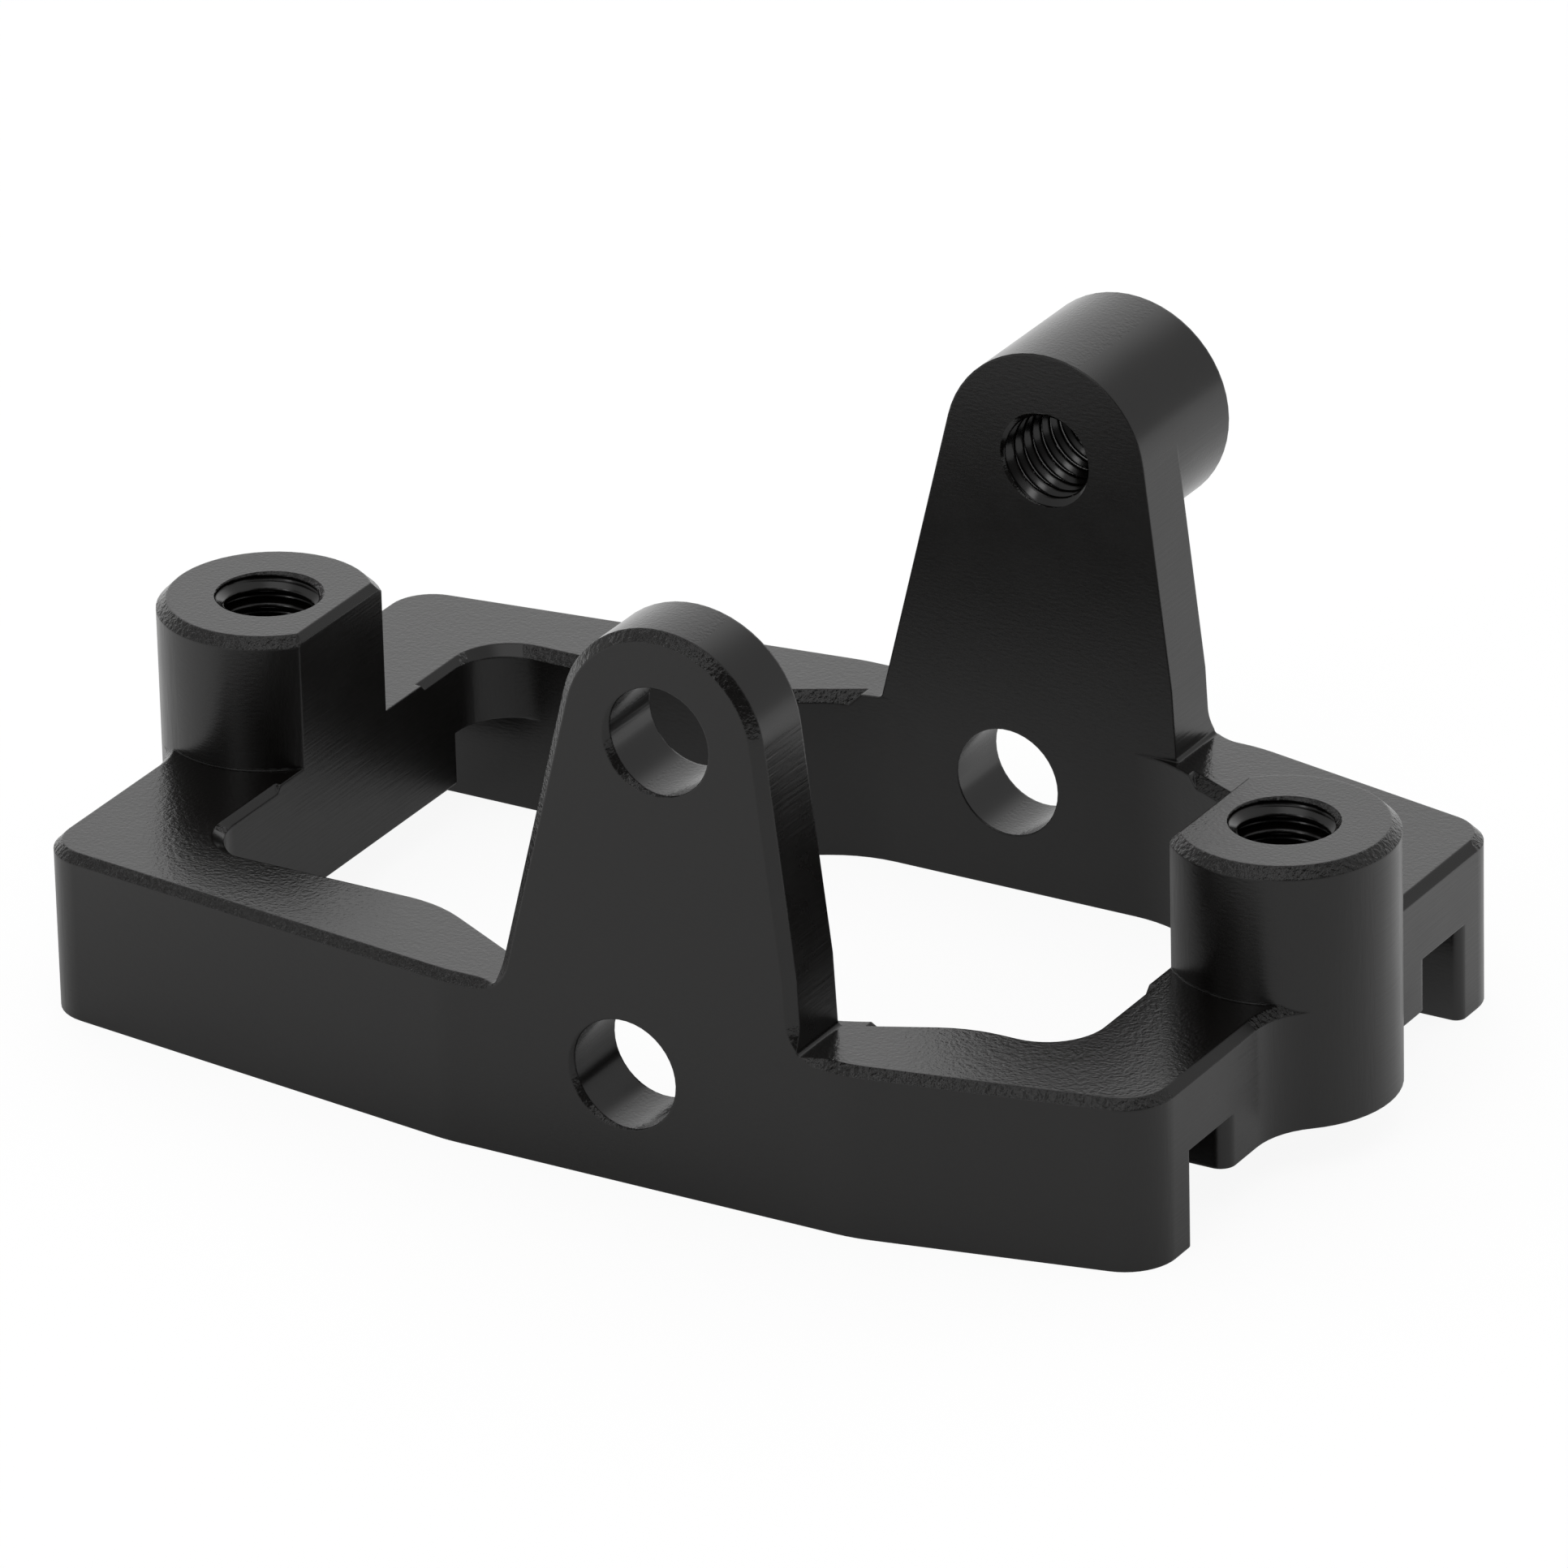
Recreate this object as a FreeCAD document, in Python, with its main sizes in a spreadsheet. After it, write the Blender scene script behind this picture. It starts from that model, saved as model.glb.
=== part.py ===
"""Servo bracket: a milled aluminium ring with two threaded bosses and two drilled ears.

The ring is symmetric front to back. X runs along its length, Y across it and Z up. The sketches are
drawn about the ring's own middle. The finished solid is set forward by half of the rear boss, so that
the origin lies under the middle of the whole bracket, on the plane that the feet stand on.
"""
import FreeCAD, Part
import math
import os

import Sketcher

NODE = "servo_bracket"

# Driving sizes in millimetres: name, value, what it measures.
SIZES = [
    ("boss_spacing", 32.0, "distance between the two boss axes"),
    ("left_end_reach", 1.6, "left end face, out from the left boss axis"),
    ("right_end_reach", 1.3, "right end face, out from the right boss axis"),
    ("frame_width", 23.0, "ring at its middle, across both long rails"),
    ("left_end_width", 19.5, "ring at its left end face"),
    ("right_end_width", 19.56, "ring at its right end face"),
    ("left_bend", 3.53, "start of the left taper, left of the origin"),
    ("right_bend", 9.1, "start of the right taper, right of the origin"),
    ("outer_corner", 1.5, "radius of the four outer corners"),
    ("bend_round", 5.0, "radius of the bends in the long rails"),
    ("rail_top", 5.0, "top of the ring above the feet"),
    ("end_rail_lift", 1.3, "underside of the end rails above the feet"),
    ("rim_break", 0.25, "chamfer round the ring's upper outer edge"),
    ("boss_flat", 2.32, "end walls of the window and flats of the bosses, in from the boss axes"),
    ("window_width", 15.1, "window between the long rails at its ends"),
    ("window_corner", 1.7, "radius of the window's four corners"),
    ("blend_round", 4.0, "radius of the blends where the window widens"),
    ("left_blend_start", 5.79, "window begins to widen, left of the origin"),
    ("left_blend_end", 2.51, "window is at its full width, left of the origin"),
    ("right_blend_end", 7.07, "window is still at its full width, right of the origin"),
    ("right_blend_start", 10.76, "window is narrow again, right of the origin"),
    ("long_break", 0.3, "chamfer on the window's long upper edges"),
    ("short_break", 0.2, "chamfer on the window's short upper edges and the boss flats"),
    ("break_stop_front", 3.65, "the window's front chamfers stop this far from a boss axis, across the ring"),
    ("break_stop_rear", 4.3, "the window's rear chamfers stop this far from a boss axis, across the ring"),
    ("break_stop_left", 0.9, "the window's chamfer stops this far from the left foot of an ear"),
    ("break_stop_right", 1.0, "the window's chamfer stops this far from the right foot of an ear"),
    ("slot_width", 1.85, "slots beside the feet of the long rails"),
    ("slot_roof", 2.85, "roof of the slots above the feet"),
    ("slot_mouth_round", 0.45, "radius at the mouth of a slot, on the end rail"),
    ("foot_mouth_round", 0.3, "radius at the mouth of a slot, on the long rail"),
    ("boss_diameter", 6.32, "bosses, across the round"),
    ("boss_rise", 3.96, "bosses above the top of the ring"),
    ("boss_break", 0.29, "chamfer round the top of the bosses"),
    ("boss_blend", 2.2, "radius between the bulge of a boss and the end face"),
    ("thread_core", 2.5, "core diameter of the threaded holes"),
    ("thread_mouth", 3.02, "diameter of the countersink of the threaded holes"),
    ("mouth_angle", 90.0, "opening angle of the countersinks, in degrees"),
    ("ear_wall", 2.2, "thickness of the ears"),
    ("ear_foot_left", 1.85, "left foot of the ears, left of the origin"),
    ("ear_foot_right", 7.53, "right foot of the ears, right of the origin"),
    ("ear_bend_right", 7.42, "the right flank's bend, right of the ring's middle"),
    ("ear_bend_height", 7.1, "height of that bend above the feet"),
    ("ear_diameter", 6.26, "round head of the ears and the round boss behind the rear ear"),
    ("ear_break", 0.28, "chamfer round the outer face of the front ear"),
    ("ear_root_round", 1.2, "radius of that chamfer's path at the feet of the front ear"),
    ("upper_hole_right", 3.5, "upper hole, right of the origin"),
    ("upper_hole_height", 13.3, "upper hole above the feet"),
    ("upper_hole_bore", 3.1, "plain upper hole of the front ear"),
    ("cross_hole_right", 2.15, "lower hole, right of the origin"),
    ("cross_hole_height", 3.25, "lower hole above the feet"),
    ("cross_hole_bore", 3.2, "lower hole through both long rails"),
    ("rear_boss_length", 2.65, "round boss behind the rear ear"),
    ("seam_round", 0.15, "radius in the seams where the ears rise from the ring"),
]


class Length:
    """A length in millimetres together with the sheet formula that gives it."""

    def __init__(self, value, formula):
        self.value = float(value)
        self.formula = formula

    def _join(self, other, sign, result):
        right = other if isinstance(other, Length) else Length(other, repr(other))
        return Length(result(self.value, right.value), f"({self.formula} {sign} {right.formula})")

    def __add__(self, other):
        return self._join(other, "+", lambda a, b: a + b)

    def __sub__(self, other):
        return self._join(other, "-", lambda a, b: a - b)

    def __mul__(self, other):
        return self._join(other, "*", lambda a, b: a * b)

    def __truediv__(self, other):
        return self._join(other, "/", lambda a, b: a / b)

    def __neg__(self):
        return Length(-self.value, f"(0 - {self.formula})")


def make_sheet(document):
    """Write the sizes into the sheet, one row each, and return them as lengths by name."""
    sheet = document.addObject("Spreadsheet::Sheet", "Sizes")
    lengths = {}
    for row, (name, value, meaning) in enumerate(SIZES, start=1):
        sheet.set(f"A{row}", name)
        sheet.set(f"B{row}", str(value))
        sheet.set(f"C{row}", meaning)
        sheet.setAlias(f"B{row}", name)
        lengths[name] = Length(value, f"Sizes.{name}")
    return lengths


def bind(feature, name, length):
    """Tie one property of a feature to the sheet."""
    feature.setExpression(name, length.formula)


def add_sketch(body, name, role, height=None):
    """Put a sketch on one of the body's origin planes, lifted along the plane's normal."""
    sketch = body.newObject("Sketcher::SketchObject", name)
    plane = [feature for feature in body.Origin.OriginFeatures if feature.Role == role][0]
    sketch.AttachmentSupport = [(plane, "")]
    sketch.MapMode = "FlatFace"
    if height is not None:
        bind(sketch, "AttachmentOffset.Base.z", height)
    return sketch


def bind_constraint(sketch, kind, *parts, length):
    """Add a dimension to a sketch and tie it to the sheet."""
    index = sketch.addConstraint(Sketcher.Constraint(kind, *parts, length.value))
    bind(sketch, f"Constraints[{index}]", length)


def pin(sketch, item, point, place):
    """Dimension a point of a sketch from the sketch's origin."""
    bind_constraint(sketch, "DistanceX", -1, 1, item, point, length=place[0])
    bind_constraint(sketch, "DistanceY", -1, 1, item, point, length=place[1])


def draw_circle(sketch, place, diameter):
    """Draw a circle by its centre and diameter."""
    centre = FreeCAD.Vector(place[0].value, place[1].value, 0)
    shape = Part.Circle(centre, FreeCAD.Vector(0, 0, 1), diameter.value / 2)
    circle = sketch.addGeometry(shape, False)
    pin(sketch, circle, 3, place)
    bind_constraint(sketch, "Diameter", circle, length=diameter)


def round_corner(before, corner, after, radius):
    """Return the arc of one radius that is tangent to both runs of a corner, and which way it turns."""
    inward = (before - corner).normalize()
    outward = (after - corner).normalize()
    turn = math.pi - inward.getAngle(outward)
    setback = radius * math.tan(turn / 2)
    start = corner + inward * setback
    end = corner + outward * setback
    centre = corner + (inward + outward).normalize() * math.hypot(radius, setback)
    turns_left = (-inward).cross(outward).z > 0
    angles = [math.atan2(point.y - centre.y, point.x - centre.x) for point in (start, end)]
    if not turns_left:
        angles.reverse()
    arc = Part.ArcOfCircle(Part.Circle(centre, FreeCAD.Vector(0, 0, 1), radius), *angles)
    return start, end, arc, turns_left


def draw_outline(sketch, corners):
    """Draw a closed outline of straight runs. Each corner is x, y and a radius, or None if sharp."""
    count = len(corners)
    points = [FreeCAD.Vector(x.value, y.value, 0) for x, y, radius in corners]
    rounds = {}
    for index, (x, y, radius) in enumerate(corners):
        if radius is not None:
            neighbours = points[index - 1], points[index], points[(index + 1) % count]
            rounds[index] = round_corner(*neighbours, radius.value)
    runs = []
    for index in range(count):
        following = (index + 1) % count
        start = rounds[index][1] if index in rounds else points[index]
        end = rounds[following][0] if following in rounds else points[following]
        runs.append(sketch.addGeometry(Part.LineSegment(start, end), False))
    for index, (x, y, radius) in enumerate(corners):
        if radius is None:
            sketch.addConstraint(Sketcher.Constraint("Coincident", runs[index - 1], 2, runs[index], 1))
            pin(sketch, runs[index], 1, (x, y))
            continue
        start, end, shape, turns_left = rounds[index]
        arc = sketch.addGeometry(shape, False)
        first, last = (1, 2) if turns_left else (2, 1)
        sketch.addConstraint(Sketcher.Constraint("Tangent", runs[index - 1], 2, arc, first))
        sketch.addConstraint(Sketcher.Constraint("Tangent", arc, last, runs[index], 1))
        bind_constraint(sketch, "Radius", arc, length=radius)
        mark = sketch.addGeometry(Part.Point(points[index]), True)
        sketch.addConstraint(Sketcher.Constraint("PointOnObject", mark, 1, runs[index - 1]))
        sketch.addConstraint(Sketcher.Constraint("PointOnObject", mark, 1, runs[index]))
        pin(sketch, mark, 1, (x, y))


def mirrored(corners):
    """Close a half outline, given along the front from left to right, with its mirror image."""
    return corners + [(x, -y, radius) for x, y, radius in reversed(corners)]


def add_feature(body, kind, name, sketch, length=None, side="One side", towards_normal=None):
    """Add a pad or a pocket of a sketch: to a length, or through everything where none is given."""
    feature = body.newObject(f"PartDesign::{kind}", name)
    feature.Profile = sketch
    feature.SideType = side
    if length is None:
        feature.Type = "ThroughAll"
    else:
        bind(feature, "Length", length)
    if towards_normal is not None:
        feature.Reversed = towards_normal == (kind == "Pocket")
    sketch.Visibility = False
    return feature


def add_dressing(body, kind, name, size, chosen):
    """Add a fillet or a chamfer to the edges of the tip that a test chooses."""
    body.Document.recompute()
    base = body.Tip
    edges = [f"Edge{number}" for number, edge in enumerate(base.Shape.Edges, start=1) if chosen(edge)]
    if not edges:
        raise ValueError(f"{name} finds no edge")
    feature = body.newObject(f"PartDesign::{kind}", name)
    feature.Base = (base, edges)
    bind(feature, "Radius" if kind == "Fillet" else "Size", size)
    return feature


def is_close(first, second):
    """Tell whether two lengths agree to a thousandth of a millimetre."""
    return abs(first - second) < 0.001


def lies_level(edge, height):
    """Tell whether an edge lies in the level plane of a height."""
    return is_close(edge.BoundBox.ZMin, height) and is_close(edge.BoundBox.ZMax, height)


def is_upright(edge, places, across):
    """Tell whether an edge is upright at one of some places along the ring and a distance across it."""
    box = edge.BoundBox
    if box.ZLength < box.XLength + box.YLength + 0.01 or not is_close(abs(box.Center.y), across.value):
        return False
    return any(is_close(box.Center.x, place.value) for place in places)


document = FreeCAD.newDocument("ServoBracket")
size = make_sheet(document)
document.recompute()

half_width = size["frame_width"] / 2
half_window = size["window_width"] / 2
pocket_wall = half_width - size["ear_wall"]
boss_axis = size["boss_spacing"] / 2
end_faces = {-1: -(boss_axis + size["left_end_reach"]), 1: boss_axis + size["right_end_reach"]}
window_end = boss_axis - size["boss_flat"]
boss_top = size["rail_top"] + size["boss_rise"]
ear_left = -size["ear_foot_left"]
ear_right = size["ear_foot_right"]
ear_bend = size["ear_bend_right"], size["ear_bend_height"]
root = size["ear_root_round"] - size["ear_break"]
middle = Length(0, "0")

body = document.addObject("PartDesign::Body", "Bracket")
body.Label = NODE
bind(body, "Placement.Base.y", -size["rear_boss_length"] / 2)

# The ring starts as a plate whose long sides taper towards both ends.
ring_sketch = add_sketch(body, "RingOutline", "XY_Plane")
draw_outline(ring_sketch, mirrored([
    (end_faces[-1], -size["left_end_width"] / 2, size["outer_corner"]),
    (-size["left_bend"], -half_width, size["bend_round"]),
    (size["right_bend"], -half_width, size["bend_round"]),
    (end_faces[1], -size["right_end_width"] / 2, size["outer_corner"]),
]))
add_feature(body, "Pad", "Ring", ring_sketch, size["rail_top"])


def draw_bulge(sketch, side):
    """Draw the plan of a boss foot: the round of the boss, run into the end face by two blends."""
    axis = boss_axis * side
    face = end_faces[side]
    radius = size["boss_diameter"].value / 2
    blend = size["boss_blend"].value
    blend_x = face.value + side * blend
    blend_y = math.sqrt((radius + blend) ** 2 - (blend_x - axis.value) ** 2)
    touch = FreeCAD.Vector(blend_x - axis.value, blend_y, 0).normalize() * radius
    tip_angle = math.atan2(touch.y, side * touch.x)
    upward = FreeCAD.Vector(0, 0, 1)
    centre = FreeCAD.Vector(axis.value, 0, 0)
    turned = 0 if side > 0 else math.pi
    nose = Part.ArcOfCircle(Part.Circle(centre, upward, radius), turned - tip_angle, turned + tip_angle)
    nose_arc = sketch.addGeometry(nose, False)
    pin(sketch, nose_arc, 3, (axis, middle))
    bind_constraint(sketch, "Radius", nose_arc, length=size["boss_diameter"] / 2)
    inner = window_end * side
    ends = {}
    for half in (-1, 1):
        hub = FreeCAD.Vector(blend_x, half * blend_y, 0)
        on_nose = math.atan2(half * (touch.y - blend_y), axis.value + touch.x - blend_x)
        on_face = math.pi - turned
        span = (on_face, on_nose) if half * side > 0 else (on_nose, on_face)
        arc = sketch.addGeometry(Part.ArcOfCircle(Part.Circle(hub, upward, blend), *span), False)
        face_point, nose_point = (1, 2) if half * side > 0 else (2, 1)
        nose_end = 2 if half * side > 0 else 1
        sketch.addConstraint(Sketcher.Constraint("Tangent", nose_arc, nose_end, arc, nose_point))
        bind_constraint(sketch, "Radius", arc, length=size["boss_blend"])
        start = FreeCAD.Vector(face.value, half * blend_y, 0)
        end = FreeCAD.Vector(inner.value, half * blend_y, 0)
        cheek = sketch.addGeometry(Part.LineSegment(start, end), False)
        sketch.addConstraint(Sketcher.Constraint("Perpendicular", arc, face_point, cheek, 1))
        sketch.addConstraint(Sketcher.Constraint("Horizontal", cheek))
        bind_constraint(sketch, "DistanceX", -1, 1, cheek, 1, length=face)
        bind_constraint(sketch, "DistanceX", -1, 1, cheek, 2, length=inner)
        ends[half] = cheek
    start = FreeCAD.Vector(inner.value, -blend_y, 0)
    end = FreeCAD.Vector(inner.value, blend_y, 0)
    closing = sketch.addGeometry(Part.LineSegment(start, end), False)
    sketch.addConstraint(Sketcher.Constraint("Coincident", closing, 1, ends[-1], 2))
    sketch.addConstraint(Sketcher.Constraint("Coincident", closing, 2, ends[1], 2))


# The bosses bulge out of the end faces over the ring's whole height and rise above it. The ring's
# upper rim is chamfered before they rise, so the chamfer runs out where it meets their rounds.
bulge_sketch = add_sketch(body, "BossBulges", "XY_Plane")
boss_sketch = add_sketch(body, "BossRounds", "XY_Plane")
for side in (-1, 1):
    draw_bulge(bulge_sketch, side)
    draw_circle(boss_sketch, (boss_axis * side, middle), size["boss_diameter"])
add_feature(body, "Pad", "BossFeet", bulge_sketch, size["rail_top"])
add_dressing(
    body, "Chamfer", "RimBreak", size["rim_break"],
    lambda edge: lies_level(edge, size["rail_top"].value),
)
add_feature(body, "Pad", "Bosses", boss_sketch, boss_top)
add_dressing(
    body, "Chamfer", "BossBreak", size["boss_break"],
    lambda edge: lies_level(edge, boss_top.value),
)


def tangent_point(foot, centre, radius, side):
    """Return the point where a line from a foot touches a circle, on the circle's outer side."""
    reach = foot - centre
    spread = math.acos(radius / reach.Length)
    angle = math.atan2(reach.y, reach.x) + side * spread
    return centre + FreeCAD.Vector(math.cos(angle), math.sin(angle), 0) * radius


def draw_ear(sketch):
    """Draw an ear as seen from the front: flanks from the rail to a round head, the right one bent."""
    centre = FreeCAD.Vector(size["upper_hole_right"].value, size["upper_hole_height"].value, 0)
    radius = size["ear_diameter"].value / 2
    top = size["rail_top"]
    feet = [FreeCAD.Vector(x.value, top.value, 0) for x in (ear_left, ear_right)]
    bend = FreeCAD.Vector(*[place.value for place in ear_bend], 0)
    touch_left = tangent_point(feet[0], centre, radius, -1)
    touch_right = tangent_point(bend, centre, radius, 1)
    angles = [math.atan2(touch.y - centre.y, touch.x - centre.x) for touch in (touch_right, touch_left)]
    head = sketch.addGeometry(
        Part.ArcOfCircle(Part.Circle(centre, FreeCAD.Vector(0, 0, 1), radius), *angles), False
    )
    pin(sketch, head, 3, (size["upper_hole_right"], size["upper_hole_height"]))
    bind_constraint(sketch, "Radius", head, length=size["ear_diameter"] / 2)
    left_flank = sketch.addGeometry(Part.LineSegment(touch_left, feet[0]), False)
    right_flank = sketch.addGeometry(Part.LineSegment(bend, touch_right), False)
    sketch.addConstraint(Sketcher.Constraint("Tangent", head, 2, left_flank, 1))
    sketch.addConstraint(Sketcher.Constraint("Tangent", right_flank, 2, head, 1))
    pin(sketch, left_flank, 2, (ear_left, top))
    pin(sketch, right_flank, 1, ear_bend)
    corners = [
        (ear_left, top),
        (ear_left - root, top),
        (ear_left - root, middle),
        (ear_right + root, middle),
        (ear_right + root, top),
        (ear_right, top),
        ear_bend,
    ]
    joint, point = left_flank, 2
    for start, end in zip(corners, corners[1:]):
        ends = [FreeCAD.Vector(x.value, z.value, 0) for x, z in (start, end)]
        run = sketch.addGeometry(Part.LineSegment(*ends), False)
        sketch.addConstraint(Sketcher.Constraint("Coincident", joint, point, run, 1))
        if end != corners[-1]:
            pin(sketch, run, 2, end)
        joint, point = run, 2
    sketch.addConstraint(Sketcher.Constraint("Coincident", joint, point, right_flank, 1))


# One slab across the ring gives both ears. The gap between them also cuts the flats of the bosses.
ear_sketch = add_sketch(body, "EarProfile", "XZ_Plane")
draw_ear(ear_sketch)
add_feature(body, "Pad", "Ears", ear_sketch, size["frame_width"], side="Symmetric")
above = size["upper_hole_height"] + size["ear_diameter"]
gap_sketch = add_sketch(body, "GapBetweenEars", "YZ_Plane")
draw_outline(gap_sketch, [
    (-pocket_wall, size["rail_top"], None),
    (pocket_wall, size["rail_top"], None),
    (pocket_wall, above, None),
    (-pocket_wall, above, None),
])
add_feature(body, "Pocket", "GapCut", gap_sketch, window_end * 2, side="Symmetric")
add_dressing(
    body, "Chamfer", "FlatBreak", size["short_break"],
    lambda edge: lies_level(edge, boss_top.value) and is_close(abs(edge.BoundBox.Center.x), window_end.value),
)

# The seams at the feet of the ears are left slightly rounded by the cutter.
def is_ear_seam(edge):
    """Tell whether an edge is the foot of an ear's flank."""
    box = edge.BoundBox
    feet = ear_left.value, ear_right.value
    level = lies_level(edge, size["rail_top"].value)
    return level and any(is_close(box.XMin, foot) and is_close(box.XMax, foot) for foot in feet)


add_dressing(body, "Fillet", "EarSeams", size["seam_round"], is_ear_seam)

# The window goes through the ring and widens between the ears.
window_sketch = add_sketch(body, "Window", "XY_Plane")
draw_outline(window_sketch, mirrored([
    (-window_end, -half_window, size["window_corner"]),
    (-size["left_blend_start"], -half_window, size["blend_round"]),
    (-size["left_blend_end"], -pocket_wall, size["blend_round"]),
    (size["right_blend_end"], -pocket_wall, size["blend_round"]),
    (size["right_blend_start"], -half_window, size["blend_round"]),
    (window_end, -half_window, size["window_corner"]),
]))
add_feature(body, "Pocket", "WindowCut", window_sketch, size["rail_top"], towards_normal=True)

# The underside is relieved between the feet of the long rails, with a deeper slot along each foot.
relief_sketch = add_sketch(body, "Underside", "YZ_Plane")
slot_wall = half_window - size["slot_width"]
draw_outline(relief_sketch, [
    (-half_window, middle, None),
    (half_window, middle, None),
    (half_window, size["slot_roof"], None),
    (slot_wall, size["slot_roof"], None),
    (slot_wall, size["end_rail_lift"], None),
    (-slot_wall, size["end_rail_lift"], None),
    (-slot_wall, size["slot_roof"], None),
    (-half_window, size["slot_roof"], None),
])
add_feature(body, "Pocket", "UndersideCut", relief_sketch, side="Symmetric")
add_dressing(
    body, "Fillet", "SlotMouths", size["slot_mouth_round"],
    lambda edge: is_upright(edge, end_faces.values(), slot_wall),
)
add_dressing(
    body, "Fillet", "FootMouths", size["foot_mouth_round"],
    lambda edge: is_upright(edge, end_faces.values(), half_window),
)

# A chamfer tool has run along the window's upper edge, but stopped short of the bosses and the ears.
# Each of its four ways is a loft that widens at 45 degrees from just inside the window.
def draw_break(sketch, blend_start, blend_end, stop, side, half, reach):
    """Draw the tool's way from a boss round a window corner to an ear, reaching over the edge."""
    wall = (half_window + reach) * half
    full = (pocket_wall + reach) * half
    slope = (full - wall) / (blend_end - blend_start)
    end_stop = stop + reach * -side
    at_stop = wall + slope * (end_stop - blend_start)
    end = (window_end + size["short_break"] - size["long_break"] + reach) * side
    inner_end = (window_end - size["window_corner"]) * side
    inner_wall = (half_window - size["window_corner"]) * half
    boss_stop = (size["break_stop_front" if half < 0 else "break_stop_rear"] - reach) * half
    draw_outline(sketch, [
        (end, boss_stop, None),
        (end, wall, size["window_corner"]),
        (blend_start, wall, size["blend_round"]),
        (end_stop, at_stop, None),
        (end_stop, inner_wall, None),
        (inner_end, inner_wall, None),
        (inner_end, boss_stop, None),
    ])


def break_edge(name, blend_start, blend_end, stop, side, half):
    """Cut one way of the chamfer tool as a loft from inside the window to above the ring's top."""
    levels = []
    for level, reach in ((-1.5, -0.5), (0.5, 1.5)):
        height = size["rail_top"] + size["long_break"] * level
        sketch = add_sketch(body, f"{name}Level{len(levels)}", "XY_Plane", height)
        draw_break(sketch, blend_start, blend_end, stop, side, half, size["long_break"] * reach)
        sketch.Visibility = False
        levels.append(sketch)
    loft = body.newObject("PartDesign::SubtractiveLoft", name)
    loft.Profile = levels[0]
    loft.Sections = levels[1:]
    loft.Ruled = True


left_stop = ear_left - size["break_stop_left"]
right_stop = ear_right + size["break_stop_right"]
for half, where in ((-1, "Front"), (1, "Rear")):
    left_ends = -size["left_blend_start"], -size["left_blend_end"], left_stop
    break_edge(f"LeftBreak{where}", *left_ends, -1, half)
    right_ends = size["right_blend_start"], size["right_blend_end"], right_stop
    break_edge(f"RightBreak{where}", *right_ends, 1, half)

# Each ear's outer edge is chamfered from foot to foot. The tool could not reach into the seams
# with the rail, so the chamfer runs out there on a round and goes on along the ring's upper edge.
def draw_ear_break(sketch, reach):
    """Draw the frame round the ear that the tool takes away, reaching over the ear's outline."""
    top = size["rail_top"]
    rim = top - reach + (size["ear_break"] - size["rim_break"])
    head_radius = size["ear_diameter"] / 2 - reach
    root_radius = size["ear_root_round"] - size["ear_break"] + reach
    centre = FreeCAD.Vector(size["upper_hole_right"].value, size["upper_hole_height"].value, 0)
    upward = FreeCAD.Vector(0, 0, 1)
    touches = {}
    sides = {-1: (ear_left + reach, ear_left - root), 1: (ear_right - reach, ear_right + root)}
    bend_places = ear_bend[0] - reach, ear_bend[1]
    bend = FreeCAD.Vector(*[place.value for place in bend_places], 0)
    left_foot = FreeCAD.Vector(sides[-1][0].value, top.value, 0)
    for side, point in ((-1, left_foot), (1, bend)):
        touches[side] = tangent_point(point, centre, head_radius.value, side)
    angles = [math.atan2(touches[side].y - centre.y, touches[side].x - centre.x) for side in (1, -1)]
    head = sketch.addGeometry(Part.ArcOfCircle(Part.Circle(centre, upward, head_radius.value), *angles), False)
    pin(sketch, head, 3, (size["upper_hole_right"], size["upper_hole_height"]))
    bind_constraint(sketch, "Radius", head, length=head_radius)
    posts = {}
    for side, (foot_x, base_x) in sides.items():
        foot = FreeCAD.Vector(foot_x.value, top.value, 0)
        upper_end = touches[side]
        if side > 0:
            upper_end = bend
            upper = sketch.addGeometry(Part.LineSegment(touches[side], bend), False)
            pin(sketch, upper, 2, bend_places)
        fall = (foot - upper_end) * ((upper_end.y - rim.value) / (upper_end.y - top.value))
        corner = upper_end + fall
        base = FreeCAD.Vector(base_x.value, rim.value, 0)
        start, end, shape, turns_left = round_corner(upper_end, corner, base, root_radius.value)
        flank = sketch.addGeometry(Part.LineSegment(upper_end, start), False)
        root_arc = sketch.addGeometry(shape, False)
        ledge = sketch.addGeometry(Part.LineSegment(end, base), False)
        post = sketch.addGeometry(Part.LineSegment(base, FreeCAD.Vector(base.x, above.value, 0)), False)
        first, last = (1, 2) if turns_left else (2, 1)
        if side > 0:
            sketch.addConstraint(Sketcher.Constraint("Tangent", head, 1, upper, 1))
            sketch.addConstraint(Sketcher.Constraint("Coincident", upper, 2, flank, 1))
        else:
            sketch.addConstraint(Sketcher.Constraint("Tangent", head, 2, flank, 1))
        sketch.addConstraint(Sketcher.Constraint("Tangent", flank, 2, root_arc, first))
        sketch.addConstraint(Sketcher.Constraint("Tangent", root_arc, last, ledge, 1))
        sketch.addConstraint(Sketcher.Constraint("Coincident", ledge, 2, post, 1))
        sketch.addConstraint(Sketcher.Constraint("Horizontal", ledge))
        bind_constraint(sketch, "Radius", root_arc, length=root_radius)
        mark = sketch.addGeometry(Part.Point(foot), True)
        sketch.addConstraint(Sketcher.Constraint("PointOnObject", mark, 1, flank))
        pin(sketch, mark, 1, (foot_x, top))
        pin(sketch, post, 1, (base_x, rim))
        pin(sketch, post, 2, (base_x, above))
        posts[side] = post
    corners = [FreeCAD.Vector(base_x.value, above.value, 0) for foot_x, base_x in sides.values()]
    lintel = sketch.addGeometry(Part.LineSegment(*corners), False)
    sketch.addConstraint(Sketcher.Constraint("Coincident", posts[-1], 2, lintel, 1))
    sketch.addConstraint(Sketcher.Constraint("Coincident", posts[1], 2, lintel, 2))


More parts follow.
